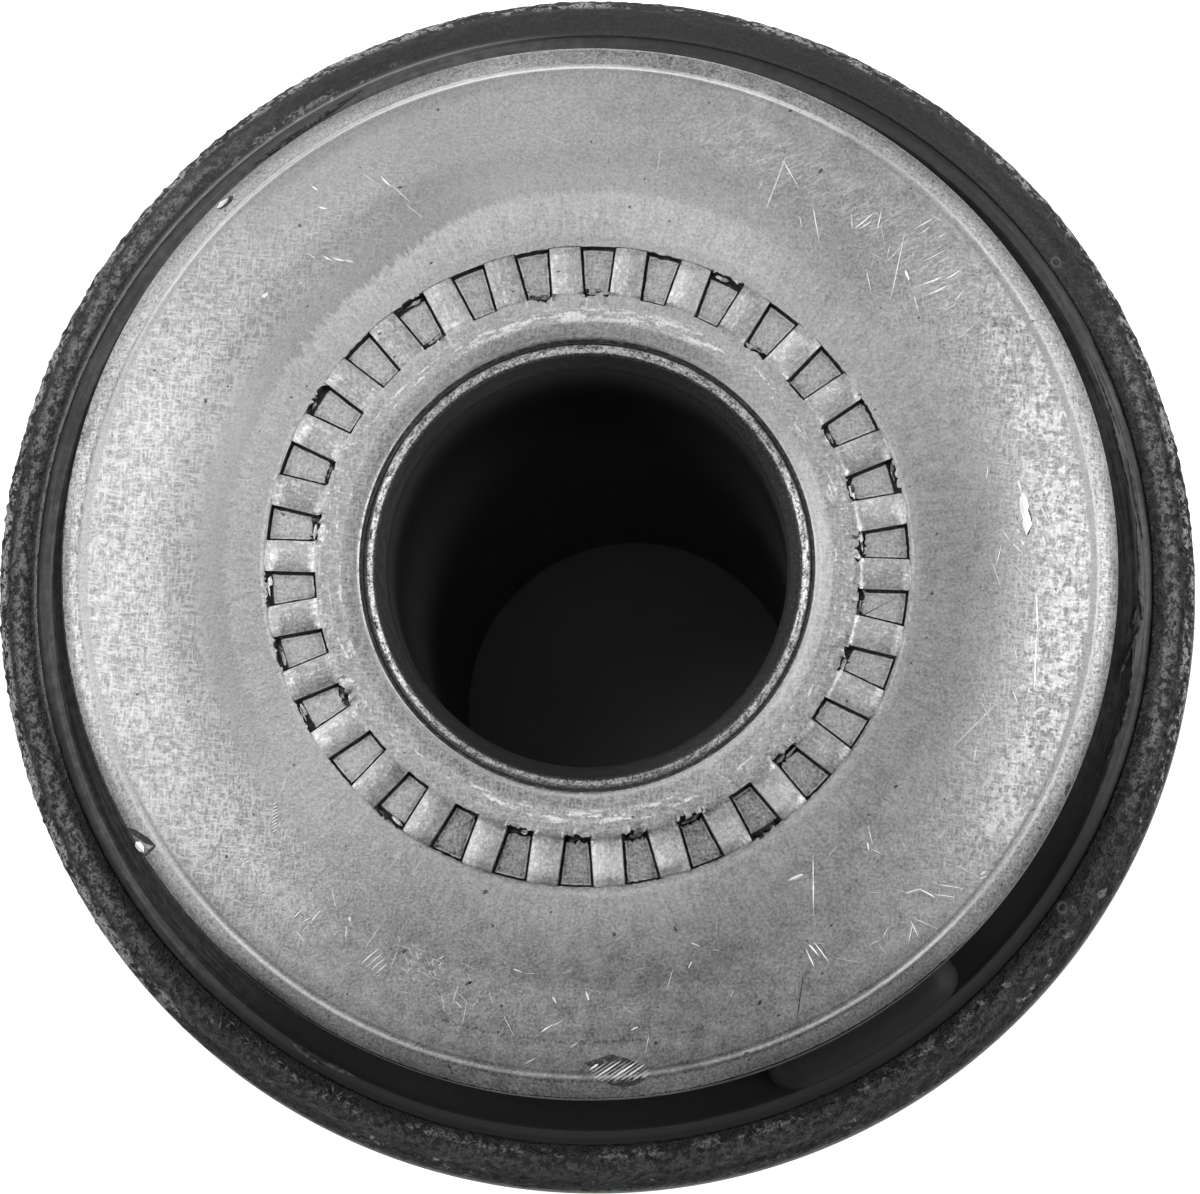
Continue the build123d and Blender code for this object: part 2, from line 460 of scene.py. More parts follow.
# Painted highlight: at the left and right the crown carries a grainy band painted lighter where the side
# lights catch it.
tread_and_side_light = clock.shares((64, 110, 8, 1), (232, 318, 14, 1), (112, 225, 10, 0.2)) * above
grainy = radius.band(35.1, 35.9, 0.35) * tread_and_side_light * (fine * 0.5 + middle * 0.5).rise(0.45, 0.57)
shoulder = radius.band(34.5, 35.1, 0.15) * above * clock.shares((138, 200, 3, 1), (318, 338, 3, 1))
rubbed_shoulder = shoulder * (middle * 0.5 + coarse * 0.5).rise(0.50, 0.56) * fine.rise(0.38, 0.6)
wear_and_glints = worn_edge.most(grainy * 0.4).most(rubbed_shoulder * 0.6)
lower = clock.sector(118, 232, 15)
# Painted shade darkens the outer rim along the bottom, where the tone is scaled below.
rim_painted_shade = radius.rise(36.3, 36.8)
# Painted highlights: crisp bright glints over the crown, more of them along the bottom.
painted_collar_glints = (fine * 0.5 + middle * 0.5 + lower * 0.02).rise(0.66, 0.70) * above
wear_and_glints = wear_and_glints.most(painted_collar_glints * 0.7)
# Painted highlight: a lighter band across the crown at the left and right.
crown_band_highlight = radius.band(35.0, 36.0, 0.4) * tread_and_side_light
# Painted light: the shoulder from one to four o'clock and the mouth, mostly from eight to half past
# eleven, are lightened where they lie in shade under the disc.
shoulder_painted_light = radius.band(34.5, 35.3, 0.3) * clock.sector(40, 108, 12) * above
collar_mouth_painted_light = radius.rise(34.9, 34.3) * clock.shares((250, 345, 12, 0.085), (345, 425, 10, 0.012))
collar_mouth_painted_light += radius.band(34.3, 34.55, 0.08) * clock.sector(255, 350, 10) * 0.12
tone = 0.012 - weathered * 0.009 + crown_band_highlight * (0.015 + middle.rise(0.3, 0.7) * 0.045)
tone += collar_mouth_painted_light * above + shoulder_painted_light * 0.016 + wear_and_glints * 0.3
pitting = weathered * middle.rise(0.50, 0.38)
tone += fine.rise(0.4, 0.7) * (0.012 + weathered * 0.035 - lower * 0.016) * (1 - pitting)
# Painted shade: a thin dark line in the side bands, beyond the lighter band.
notch = radius.band(36.08, 36.28, 0.1) * tread_and_side_light * coarse.rise(0.35, 0.45)
# Painted shade darkens the mouth from four to half past eight.
collar_mouth_painted_shade = clock.sector(112, 252, 10) * radius.rise(35.1, 34.5) * above
tone *= (1 - notch * 0.6) * (1 - collar_mouth_painted_shade * 0.72) * (1 - lower * rim_painted_shade * 0.6)
# Blisters in the coating: small rings with a dark middle.
for blister_clock, blister_radius in ((55.0, 34.9), (124.8, 34.9), (262.0, 36.1)):
    azimuth = radians(twelve_azimuth - blister_clock)
    middle_place = (blister_radius * cos(azimuth), blister_radius * sin(azimuth), collar_top)
    away = spot.node("VectorMath", {0: spot, 1: middle_place}, "Value", operation="DISTANCE")
    tone += away.band(0.26, 0.4, 0.06) * 0.06 - away.rise(0.26, 0.1) * 0.01
# The barrel keeps faint turning lines and the scuffs of handling, and its foot is rubbed.
barrel = 1 - above
lines = (clock * 0.03).beside(0.0, height * 2.2).noise(1.0, 2.0, 0.6) * barrel
drags = (clock * 1.3).beside(0.0, height * 0.14).noise(1.0, 2.0, 0.7)
scuffs = barrel * drags.rise(0.62, 0.74) * coarse.rise(0.45, 0.6)
foot = height.rise(outer_end + 2.6, outer_end + 1.8) * radius.rise(31.8, 32.3) * middle.rise(0.42, 0.56)
wear_and_glints = wear_and_glints.most(scuffs * 0.22).most(foot * 0.7)
tone += barrel * (lines * 0.012 + foot * 0.16 + scuffs * 0.035)
rough_rim = radius.rise(36.2, 36.6)
rough = 0.62 - wear_and_glints * 0.12 - barrel * 0.1
rough = rough - lower * above * (1 - rough_rim) * 0.2 + rough_rim * above * 0.25
wired(shader, Base_Color=tone, Roughness=rough, Metallic=wear_and_glints * 0.5)
relief = fine * (0.4 + weathered * 0.8) * (1 - barrel * 0.6) + middle * 0.3 + lines * 0.5
bumped(shader, relief - pitting * above * 0.6, 1.0, 0.2)
collared.data.materials.append(coating)


def heading_vector(heading):
    """Unit direction, seen from above, of a clock heading in degrees."""
    azimuth = radians(twelve_azimuth - heading)
    return Vector((cos(azimuth), sin(azimuth)))


def sliver(level, place, heading, length, width, proud, material):
    """A slim lens half sunk in a surface: its middle and sizes in mm, level(radius) its height."""
    along = heading_vector(heading)
    across = heading_vector(heading + 90)
    places = []
    for station in (-1, -0.6, -0.1, 0.4, 0.8, 1):
        half = max(0.01, width / 2 * (1 - station * station) ** 0.6 * random.uniform(0.6, 1.2))
        for reach, height in ((-half, 0.0), (half, 0.0), (0, proud), (0, -0.03)):
            spot = place + along * station * length / 2 + across * reach
            places.append((spot.x, spot.y, level(spot.length) + height))
    lens = drawn("sliver", places)
    bpy.ops.mesh.convex_hull()
    faced()
    lens.data.materials.append(material)
    return lens


# Flaked patches at the mouth, where the coating has come off the shoulder.
bare_patch_and_glints, shader, spot = finish("bare_patch_and_glints", {"Metallic": 0.2})
rust_grain = spot.noise(4.5, 3.0, 0.7)
wired(shader, Base_Color=0.03 + rust_grain.rise(0.36, 0.6) * 0.13, Roughness=0.6 + rust_grain * 0.2)
bumped(shader, rust_grain, 1.0, 0.15)


def mouth_height(radius):
    """Height in mm of the collar's crown, which rounds down to its mouth."""
    inside = max(0, min(shoulder_round, shoulder_radius - radius))
    return collar_top - shoulder_round + (shoulder_round ** 2 - inside ** 2) ** 0.5


def joined(pieces):
    """Join pieces into the first of them."""
    bpy.ops.object.select_all(action="DESELECT")
    for piece in pieces:
        piece.select_set(True)
    bpy.context.view_layer.objects.active = pieces[0]
    bpy.ops.object.join()


random.seed(11)
collar_pieces = [collared]
for clock, radius, slant, length, width in (
        (330.0, 34.8, -4, 1.3, 0.5), (331.2, 34.85, 10, 0.8, 0.4), (323.3, 34.6, -6, 1.1, 0.34),
        (324.4, 34.75, 14, 0.7, 0.4), (320.1, 34.65, -8, 0.9, 0.55), (335.6, 34.6, 2, 0.6, 0.4),
        (303.0, 36.2, 0, 1.6, 0.5), (301.4, 34.7, 30, 0.5, 0.4), (126.6, 36.1, 20, 0.8, 0.4),
        (129.8, 36.2, -30, 0.6, 0.3), (134.3, 35.2, 40, 0.7, 0.35), (137.4, 34.9, 60, 0.6, 0.3),
        (142.0, 35.4, 0, 0.7, 0.3), (121.5, 36.4, 10, 0.9, 0.4)):
    place = heading_vector(clock) * radius
    patch = sliver(mouth_height, place, clock + 90 + slant, length, width, 0.04, bare_patch_and_glints)
    collar_pieces.append(patch)
# Wrinkles where the coating ran together and set in lumps, at seven o'clock. They take the paler
# bare-patch finish, which paints their glints.
for wrinkle in range(40):
    clock = random.uniform(204, 222)
    place = heading_vector(clock) * random.uniform(34.5, 35.6)
    course = clock + 90 + random.gauss(0, 35)
    length = random.uniform(0.15, 0.6)
    collar_pieces.append(sliver(mouth_height, place, course, length, 0.11, 0.05, bare_patch_and_glints))
joined(collar_pieces)
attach(collared, "root")
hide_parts("outer_sleeve")


# Rubber body. Black natural rubber, moulded between the two sleeves and bonded to both, with a
# trough and a lip above, a recess below, and two raised lugs that stop the disc.
skin_radius = 15.1
skin_top = 80.8
skin_foot = 7.0
lip_inner_radius = 33.2
lip_outer_radius = 33.75
lip_level = 77.5
groove_radius = 34.34
groove_level = 77.5
trough_radius = 24.15
trough_level = 73.7
lower_level = 11.0
recess_radii = (18.5, 26.7)
recess_level = 16.5
lug_top = 78.2
lug_radii = (27.3, 33.8)
lug_span = radians(23.7)
lug_foot = 73.0
lug_round = 2.0
lug_edge_round = 1.7
open_groove = (64, 254)
open_groove_fall = 0.13
rubber_steps = 360


def parabola(start, middle, end, parts):
    """Points between start and end on the parabola through middle."""
    points = []
    for part in range(1, parts):
        share = part / parts
        radius = start[0] + (end[0] - start[0]) * share
        height = 0
        for one, two, three in ((start, middle, end), (middle, end, start), (end, start, middle)):
            weight = (radius - two[0]) * (radius - three[0])
            height += one[1] * weight / ((one[0] - two[0]) * (one[0] - three[0]))
        points.append((radius, height))
    return points


skin_edge = (skin_radius, skin_top)
lip_edge = (lip_inner_radius, lip_level - 0.25)
recess_outer = (recess_radii[1], lower_level)
recess_inner = (recess_radii[0], lower_level)
recess_top = (sum(recess_radii) / 2, recess_level)
rubber_points = [(sleeve_radius, skin_foot), (sleeve_radius, skin_top), skin_edge]
rubber_points += parabola(skin_edge, (trough_radius, trough_level), lip_edge, 24)
rubber_points += [lip_edge, (lip_inner_radius + 0.1, lip_level - 0.09),
                  (lip_inner_radius + 0.25, lip_level), (lip_outer_radius - 0.1, lip_level - 0.02),
                  (lip_outer_radius + 0.15, lip_level - 0.1)]
rubber_points += [(groove_radius, groove_level), (groove_radius - 0.14, groove_level - 0.2),
                  (outer_bore_radius, mouth_start)]
rubber_points += [(outer_bore_radius, lower_level), recess_outer]
rubber_points += parabola(recess_outer, recess_top, recess_inner, 12)
rubber_points += [recess_inner, (skin_radius, skin_foot)]
rubber = drawn("bonded_rubber", standing(rubber_points))
turned(rubber, rubber_steps)


def marked(mesh, kind, test):
    """Select the faces or corners of a mesh whose place in mm passes a test."""
    bpy.ops.object.mode_set(mode="OBJECT")
    for group in (mesh.polygons, mesh.edges, mesh.vertices):
        group.foreach_set("select", [False] * len(group))
    if kind == "FACE":
        for face in mesh.polygons:
            face.select = not face.hide and test(*(face.center / MM))
    else:
        for vertex in mesh.vertices:
            vertex.select = not vertex.hide and test(*(vertex.co / MM))
    bpy.context.tool_settings.mesh_select_mode = (kind == "VERT", False, kind == "FACE")
    bpy.ops.object.mode_set(mode="EDIT")


def in_open_groove(x, y, z):
    on_edge = abs(hypot(x, y) - groove_radius) < 0.01 and z > groove_level - 0.1
    return on_edge and open_groove[0] < clock_angle(x, y) < open_groove[1]


marked(rubber.data, "VERT", in_open_groove)
bpy.ops.transform.translate(value=(0, 0, -open_groove_fall * MM))
bpy.ops.object.mode_set(mode="OBJECT")

lug_middle = sum(lug_radii) / 2
lug_half = lug_middle * lug_span / 2
lug_corners = []
for column, run in ((0, -lug_half), (1, -lug_half), (1, lug_half), (0, lug_half)):
    lug_corners.append((lug_radii[column], run, lug_round, 0.5))
lug_plan = section(lug_corners)
lug_outline = []
for radius, run in lug_plan:
    azimuth = pi / 2 + run / lug_middle
    lug_outline.append((radius * cos(azimuth), radius * sin(azimuth), lug_foot))
lugs = drawn("lugs", lug_outline)
bpy.ops.mesh.edge_face_add()
raised(lug_top - lug_foot)
bpy.ops.mesh.region_to_loop()
bpy.ops.mesh.bevel(offset=lug_edge_round * MM, segments=9, affect="EDGES")
bpy.ops.mesh.select_all(action="SELECT")
bpy.ops.mesh.normals_make_consistent(inside=False)
bpy.ops.mesh.duplicate()
bpy.ops.transform.rotate(value=pi, orient_axis="Z", center_override=(0, 0, 0))
bpy.ops.object.mode_set(mode="OBJECT")
bpy.ops.object.select_all(action="DESELECT")
rubber.select_set(True)
bpy.context.view_layer.objects.active = rubber
join = rubber.modifiers.new("join", "BOOLEAN")
join.operation = "UNION"
join.object = lugs
bpy.ops.object.modifier_apply(modifier="join")
bpy.data.objects.remove(lugs)
bpy.ops.object.shade_smooth_by_angle(angle=radians(35))

black_rubber, shader, spot = finish("black_rubber", {"Specular IOR Level": 0.28})
radius, clock = polar(spot)
height = spot.part("Z")
streaks = (radius * 5.0).beside(clock * 0.12, height * 2.0).noise(1.0, 2.0, 0.6)
bloom = spot.noise(1.4, 3.0, 0.6)
dusty = 1 - clock.shares((112, 220, 12, 1), (355, 418, 12, 0.7))
upper = height.rise(73.0, 76.5)
smeared = (bloom * 0.5 + streaks * 0.5).rise(0.42, 0.62)
# Painted reflection: streaks on the upper slope near three o'clock are painted lighter as a sheen.
painted_sheen = clock.sector(68, 98, 6) * radius.rise(32.0, 33.2) * streaks.rise(0.35, 0.6)
powdery = clock.sector(228, 282, 12) * upper * (0.012 + smeared * 0.014)
# Painted light: the upper slope between three and half past four and between half past six and nine
# o'clock is lightened where it lies in the disc's shade.
slope_painted_light = radius.band(30.8, 33.2, 0.3) * clock.shares((196, 262, 12, 0.016), (84, 134, 10, 0.016))
outer_slope_painted_shading = radius.rise(33.8, 33.98)
# Painted shade darkens the tops of the lugs, under the disc.
tone = 0.011 - height.rise(77.6, 78.0) * 0.009 + bloom * 0.005 + painted_sheen * 0.055 + powdery
tone += slope_painted_light + dusty * upper * (0.02 + bloom * 0.03 + smeared * 0.03)
# Painted shade and light: the outer slope into the groove is darkened from four to half past eight and
# lightened from half past one to four and from nine to half past eleven.
tone *= 1 - outer_slope_painted_shading * clock.sector(118, 258, 12) * 0.55
tone += outer_slope_painted_shading * clock.shares((262, 345, 12, 0.03), (45, 112, 12, 0.035))
rough = 0.36 + dusty * 0.14 + bloom * 0.15 + height.rise(74.5, 76.5) * 0.16
wired(shader, Base_Color=tone, Roughness=rough)
bumped(shader, streaks * dusty * 0.7 + bloom * (0.2 + dusty * 0.8), 0.7, 0.14)
rubber.data.materials.append(black_rubber)


def lip_height(radius):
    """Height in mm of the rubber lip, which falls away towards the trough."""
    return lip_level - 0.02 - max(0, lip_inner_radius + 0.15 - radius) * 0.8


# Flash: thin flaps of rubber that the mould left along the lip, most of them at three o'clock.
flash, shader, spot = finish("rubber_flash", {"Specular IOR Level": 0.3})
torn_grain = spot.noise(3.0, 3.0, 0.65)
wired(shader, Base_Color=0.012 + torn_grain.rise(0.4, 0.65) * 0.075, Roughness=0.45 + torn_grain * 0.2)
bumped(shader, torn_grain, 0.8, 0.12)
random.seed(3)
rubber_pieces = [rubber]
for clock, radius, slant, length, width, proud in (
        (70, 33.62, 0, 4.6, 0.2, 0.05), (75.5, 33.4, 1, 5.2, 0.22, 0.06),
        (81, 33.7, -1, 5, 0.24, 0.06), (86, 33.5, 1, 3.6, 0.2, 0.06),
        (91.8, 33.55, -8, 2.4, 0.42, 0.12), (93.4, 33.2, 12, 1.6, 0.3, 0.1),
        (97, 33.1, 16, 3.2, 0.55, 0.14), (98.2, 33.35, -6, 2.2, 0.3, 0.1),
        (103.2, 33.5, 0, 3, 0.4, 0.1), (107.5, 33.3, 6, 1.8, 0.24, 0.06),
        (208, 33.5, -4, 2.6, 0.3, 0.08), (211.5, 33.65, 6, 2.2, 0.34, 0.09),
        (329, 33.9, -3, 7.5, 0.3, 0.06), (324, 33.75, 3, 3, 0.26, 0.06)):
    place = heading_vector(clock) * radius
    flap = sliver(lip_height, place, clock + 90 + slant, length, width, proud, flash)
    rubber_pieces.append(flap)
joined(rubber_pieces)
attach(rubber, "root")
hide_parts("rubber_body")


# Stop disc. Forged and turned steel, pressed on the sleeve's upper end, with a ring of thirty
# serrations coined into its face: the punches left keystone pockets between barrel-crowned pads.
face_level = 88.7
outer_face_level = 88.55
seat_radius = 16.3
serration_radius = 19.33
flat_radius = 23.0
crown_line_radius = 30.6
crown_line_level = 87.3
disc_radius = 31.85
disc_edge_level = 86.5
disc_under_level = 83.2
hub_radius = 19.0
hub_level = 81.2
pad_count = 30
pad_half_width = 0.93
pad_level = 88.63
pad_crown = 0.07
pad_end_fall = 0.02
pocket_depth = 0.75
pocket_floor_rise = 0.2
groove_width = 0.1
floor_edge_width = 0.06
pad_edge_width = 0.09
seat_step_width = 0.28
ring_middle = (seat_radius + serration_radius) / 2
first_pad = radians(2.5)
pitch = 2 * pi / pad_count
wedge_steps = 24

disc_corners = [
    (sleeve_radius, hub_level, 0.3, 2.0),
    (hub_radius, hub_level, 0.5, 1.0),
    (hub_radius, disc_under_level, 1.2, 1.5),
    (disc_radius, disc_under_level, 1.0, 0.8),
    (disc_radius, disc_edge_level, 0.15, 0.3),
    (crown_line_radius + 0.07, crown_line_level - 0.02, 0, 0.2),
    (crown_line_radius - 0.07, crown_line_level, 0, 0.45),
    (flat_radius, outer_face_level, 28.0, 0.45),
    (serration_radius + 0.1, outer_face_level, 0, 0.1),
    (serration_radius, outer_face_level, 0, 0.2),
    (serration_radius - 0.5, pad_level, 0, 0.3),
    (seat_radius + seat_step_width, pad_level, 0, 0.2),
    (seat_radius, face_level, 0, 0.4),
    (sleeve_radius, face_level, 0.36, 1.0),
]
disc_section = section(disc_corners)
disc = drawn("serrated_disc", standing(disc_section, first_pad))
bpy.ops.mesh.select_all(action="SELECT")
bpy.ops.mesh.spin(steps=wedge_steps, angle=pitch, center=(0, 0, 0), axis=(0, 0, -1))
mesh = disc.data


def in_ring(x, y, z):
    return z > outer_face_level - 0.01 and seat_radius < hypot(x, y) < serration_radius


def from_pad(x, y, pad):
    """Distance of a place from a pad's middle line, positive on the side of the next pad."""
    azimuth = first_pad + pad * pitch
    return y * cos(azimuth) - x * sin(azimuth)


for pad, side in ((0, 1), (1, -1)):
    azimuth = first_pad + pad * pitch
    across = Vector((-sin(azimuth), cos(azimuth), 0))
    for offset in (pad_half_width, pad_half_width - pad_edge_width):
        marked(mesh, "FACE", in_ring)
        bpy.ops.mesh.bisect(plane_co=across * side * offset * MM, plane_no=across, threshold=1e-6)


def in_pocket(x, y, z):
    between = from_pad(x, y, 0) > pad_half_width and from_pad(x, y, 1) < -pad_half_width
    return in_ring(x, y, z) and between


marked(mesh, "FACE", in_pocket)
bpy.ops.mesh.dissolve_faces()
raised(-pocket_depth)
bpy.ops.mesh.remove_doubles(threshold=0.1 * MM)
pocket_bottom = outer_face_level - pocket_depth
bpy.ops.transform.resize(value=(1, 1, 0), center_override=(0, 0, pocket_bottom * MM))
bpy.ops.mesh.inset(thickness=groove_width * MM)
bpy.ops.mesh.inset(thickness=floor_edge_width * MM)
bpy.ops.transform.translate(value=(0, 0, pocket_floor_rise * MM))


def bore_edge_shade_width(x, y):
    """How far the grime and painted shade at the bore's edge reach: hardly at all on the right."""
    return 0.06 if 62 < clock_angle(x, y) < 128 else 0.2


def near_ring(x, y):
    return seat_radius - 0.05 < hypot(x, y) < serration_radius + 0.05


def in_groove(x, y, z):
    on_wall = pocket_bottom + pocket_floor_rise + 0.02 < z < outer_face_level - 0.1
    return near_ring(x, y) and (on_wall or pocket_bottom - 0.1 < z < pocket_bottom + 0.02)


# The pocket walls and groove floors and the disc's edge at the bore take the dark finish, which is grime
# and painted shade.
bpy.ops.object.mode_set(mode="OBJECT")
for face in mesh.polygons:
    x, y, z = face.center / MM
    bore_edge = z > face_level - 0.5 and hypot(x, y) < sleeve_radius + bore_edge_shade_width(x, y)
    face.material_index = 1 if in_groove(x, y, z) or bore_edge else 0


def on_pad(x, y, z):
    on_top = seat_radius + seat_step_width < hypot(x, y) < serration_radius - 0.01
    return in_ring(x, y, z) and on_top


def on_pad_side(x, y, z):
    return abs(min(from_pad(x, y, 0), -from_pad(x, y, 1)) - pad_half_width) < 0.01


def on_pad_end(x, y, z):
    return hypot(x, y) > serration_radius - 0.02


marked(mesh, "FACE", on_pad)
bpy.ops.mesh.hide(unselected=True)
marked(mesh, "VERT", on_pad_side)
bpy.ops.transform.translate(value=(0, 0, -pad_crown * MM), use_proportional_edit=True,
                            proportional_edit_falloff="SHARP", proportional_size=pad_half_width * MM)
marked(mesh, "VERT", on_pad_end)
bpy.ops.transform.translate(value=(0, 0, -pad_end_fall * MM), use_proportional_edit=True,
                            proportional_edit_falloff="SMOOTH", proportional_size=0.7 * MM)
bpy.ops.mesh.reveal(select=False)

bpy.ops.mesh.select_all(action="SELECT")
bpy.ops.mesh.spin(steps=pad_count - 1, dupli=True, angle=pitch * (pad_count - 1),
                  center=(0, 0, 0), axis=(0, 0, -1))
bpy.ops.mesh.select_all(action="SELECT")
bpy.ops.mesh.remove_doubles(threshold=2e-6)
faced()
bpy.ops.object.shade_smooth_by_angle(angle=radians(30))

random.seed(7)
raggedness = {}
for pocket in range(pad_count):
    for end in (seat_radius, serration_radius):
        raggedness[pocket, end] = random.choice((0.08, 0.15, 0.3, 0.6, 1))


def torn(x, y, z):
    """Tearing round a pocket: little at its sides, at its ends another for each end."""
    turn = (atan2(y, x) - first_pad) / pitch % pad_count
    if not 0.24 < turn % 1 < 0.76 or not near_ring(x, y):
        return 0
    on_floor = pocket_bottom + 0.01 < z < outer_face_level - 0.3
    for end in (seat_radius, serration_radius):
        inset = abs(hypot(x, y) - end)
        if z > outer_face_level - 0.01 and inset < 0.01 or on_floor and inset < 0.4:
            return raggedness[int(turn), end]
    return 0.15 if on_floor else 0


def loose_floor(end, x, y, z):
    """Whether a place is on the end of a raised floor that the punch left short of the wall."""
    on_floor = pocket_bottom + 0.01 < z < outer_face_level - 0.3 and abs(hypot(x, y) - end) < 0.4
    return on_floor and torn(x, y, z) > 0.5


for end, shift in ((seat_radius, 1.013), (serration_radius, 0.986)):
    marked(mesh, "VERT", lambda x, y, z: loose_floor(end, x, y, z))
    bpy.ops.transform.resize(value=(shift, shift, 1), center_override=(0, 0, 0))
bpy.ops.object.mode_set(mode="OBJECT")
weighted(disc, "torn", torn)
tearing = bpy.data.textures.new("tearing", "CLOUDS")
tearing.cloud_type = "COLOR"
tearing.noise_scale = 0.2 * MM
tear = disc.modifiers.new("tear", "DISPLACE")
tear.texture = tearing
tear.texture_coords = "LOCAL"
tear.direction = "RGB_TO_XYZ"
tear.strength = 0.8 * MM
tear.mid_level = 0.5
tear.vertex_group = "torn"
bpy.ops.object.modifier_apply(modifier="tear")
for vertex in mesh.vertices:
    vertex.co.z = min(vertex.co.z, face_level * MM)

satin_steel, shader, spot = finish("satin_steel", {"Metallic": 1.0})
radius, clock = polar(spot)
clouds = spot.noise(0.12, 0.0)
mottle = spot.noise(0.9, 2.0, 0.6)
flecks = spot.noise(6.0, 3.0, 0.7)
patches = spot.noise(0.4, 2.0, 0.5)
threads = spot.noise(2.6, 2.0, 0.65, 0.6)
upright = spot.stretched(twelve_azimuth - 4, 1.6, 6.6).noise(1.0, 2.0, 0.62, 0.3)
flatwise = spot.stretched(twelve_azimuth - 96, 1.6, 6.6).noise(1.0, 2.0, 0.62, 0.3)
slanting = spot.stretched(twelve_azimuth - 62, 1.2, 5.5).noise(1.0, 1.0, 0.6)
weave = upright.rise(0.47, 0.62).most(flatwise.rise(0.47, 0.62))
tone = 0.30 + (clouds - 0.5) * 0.1 + (mottle - 0.5) * 0.08 + (flecks - 0.5) * 0.4
tone += (upright - 0.5) * 0.1 + (flatwise - 0.5) * 0.1

# Handling has burnished the cone, curdled on the right and in woven strokes on the left, and its two fans
# at the left and right are also painted highlights of the side lights.
curds = (spot.noise(2.2, 2.0, 0.7) * 0.7 + patches * 0.3).rise(0.47, 0.56)
before_line = radius.rise(30.22, 30.08)
right_start = 26.9 + clock.shares((30, 60, 8, 1.8), (108, 130, 6, 0.5))
# Painted highlights: the fans at the right and the left.
right_fan_highlight = clock.sector(55, 126, 12) * radius.rise(right_start - 0.9, right_start + 0.7) * before_line
left_fan_highlight = clock.sector(230, 306, 14) * radius.rise(25.2, 27.4) * before_line
left_tail_highlight = clock.sector(210, 238, 7) * radius.band(26.0, 27.6, 0.5)
left_weave = clock.sector(222, 316, 10) * radius.rise(23.0, 24.2) * before_line
left_weave += clock.sector(316, 334, 8) * radius.band(23.6, 27.6, 0.8) * 0.5
right_weave = clock.sector(52, 132, 10) * radius.rise(23.6, 26.0) * before_line
skated = clock.sector(14, 58, 8) * radius.band(26.0, 28.9, 0.9)
tone += right_fan_highlight * (curds * 0.2 + weave * 0.06 - 0.03)
tone += (left_fan_highlight + left_tail_highlight) * (curds * 0.07 - 0.005) + left_weave * (weave - 0.45) * 0.12
tone += right_weave * (weave - 0.45) * 0.08
tone += skated * (0.01 + slanting.rise(0.5, 0.62) * 0.09)

# A feathered arc parts the flat ring from the cone. Painted light and shade vary the ring and the cone by
# clock angle: lighter inside the arc above the bore, darker at most other angles.
spokes = (clock * 1.4).beside(radius * 0.4).noise(1.0, 1.0, 0.6)
arc_radius = 23.2 - clock.sector(235, 335, 15) * 1.0
past_arc = (radius + (spokes - 0.5) * 1.8).rise(arc_radius - 0.7, arc_radius - 0.3)
flat_ring = (1 - past_arc) * radius.rise(19.8, 20.2)
tone += flat_ring * (spokes - 0.5) * 0.14
near_cone = past_arc * radius.rise(26.4, 24.8)
# Painted light and shade by clock angle over the flat ring and the cone.
shade = flat_ring * clock.shares((325, 392, 15, 0.12), (62, 200, 20, -0.15))
shade -= near_cone * clock.shares(
    (240, 345, 15, 0.2), (70, 122, 12, 0.12), (144, 190, 8, 0.12), (345, 382, 10, 0.1))
shade -= past_arc * clock.sector(302, 342, 10) * 0.13
shade += radius.band(25.2, 27.8, 0.5) * clock.sector(172, 204, 8) * 0.18
shade -= radius.band(29.6, 30.5, 0.4) * clock.shares((132, 238, 12, 0.24), (318, 355, 12, 0.18))

# The crown line is burnished, and painted brighter at the top and bottom and darker at the sides. Painted
# shade darkens a thin dip inside it and one outside it at the bottom, shades the bevel by clock angle and
# darkens it towards the edge, and a painted highlight streaks the bevel at the sides.
sides = clock.shares((65, 115, 15, 1), (245, 295, 15, 1))
line_width = clock.shares((330, 390, 15, 0.05), (255, 330, 15, 0.04))
line = abs(radius - crown_line_radius - sides * 0.13) - line_width
line = line.rise(0.12, 0.06)
# Painted light on the crown line: brighter at the top and bottom, darker at the sides.
line_painted_light = 0.04 - sides * 0.09 + clock.shares(
    (338, 388, 10, 0.34), (134, 162, 8, 0.33), (162, 228, 8, 0.2), (300, 340, 10, 0.16))
# Painted shade: thin dark dips beside the crown line.
line_dips_painted_shade = radius.band(30.22, 30.4, 0.06) * (0.04 + clock.sector(115, 240, 12) * 0.06 - sides * 0.03)
line_dips_painted_shade += radius.band(30.76, 30.88, 0.05) * clock.sector(145, 205, 10) * 0.07
# Painted highlight: a streak on the bevel at the left and right.
bevel_streak_highlight = radius.band(30.85, 31.3, 0.12) * clock.shares((30, 100, 8, 0.1), (244, 300, 8, 0.1))
bevel_streak_highlight *= weave * 0.6 + threads.rise(0.42, 0.56) * 0.4
tone += line * line_painted_light - line_dips_painted_shade + bevel_streak_highlight
bevel = radius.rise(crown_line_radius + 0.1, crown_line_radius + 0.2)
bevel_shade = clock.shares(
    (278, 303, 6, 0.42), (350, 380, 8, 0.6), (380, 392, 6, 0.2), (312, 345, 8, -0.24),
    (36, 60, 6, -0.16), (136, 166, 6, -0.48), (194, 222, 6, -0.38))
# Painted shade darkens the bevel towards the edge.
bevel_edge_shade = 0.2 + clock.shares((84, 128, 8, 0.3), (212, 275, 8, 0.3))
shade += bevel * (bevel_shade - radius.rise(31.0, 31.7) * bevel_edge_shade)
tone += bevel * ((flecks - 0.5) * 0.4 + (weave - 0.5) * sides * 0.1)
